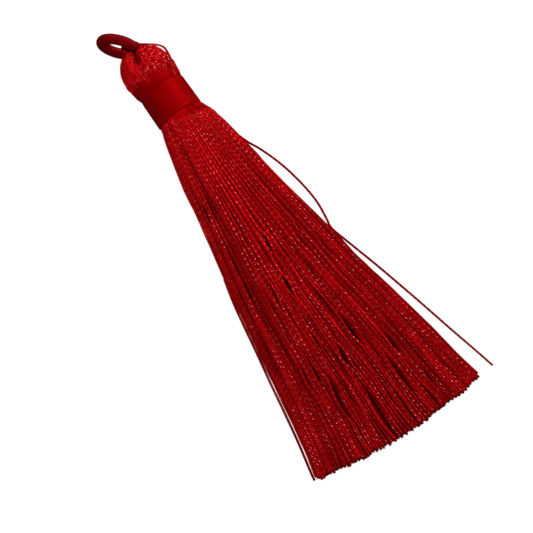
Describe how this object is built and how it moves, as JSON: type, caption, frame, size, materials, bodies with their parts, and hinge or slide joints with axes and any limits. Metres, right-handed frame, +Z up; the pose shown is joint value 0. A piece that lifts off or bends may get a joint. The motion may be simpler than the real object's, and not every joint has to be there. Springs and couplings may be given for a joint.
{
  "type": "silk tassel",
  "caption": "Red silk tassel lying flat: a thread-wound hanging ring, a folded head, a wound neck binding and a long fanned skirt of twisted threads.",
  "frame": {"origin": "on the surface that the tassel lies on, under the middle of the neck binding", "axes": "+X along the tassel from the head to the hem, +Z up from the surface"},
  "size_m": [0.0861, 0.0357, 0.0092],
  "materials": {
    "skein_silk": "lustrous two-ply twisted silk",
    "binding_silk": "satin, fine untwisted silk wound close",
    "ring_silk": "satin, dark red silk wound round a ring"
  },
  "bodies": {
    "root": {"hanging_ring": "ring_silk", "thread_bundle": "skein_silk", "neck_binding": "binding_silk"}
  },
  "joints": []
}
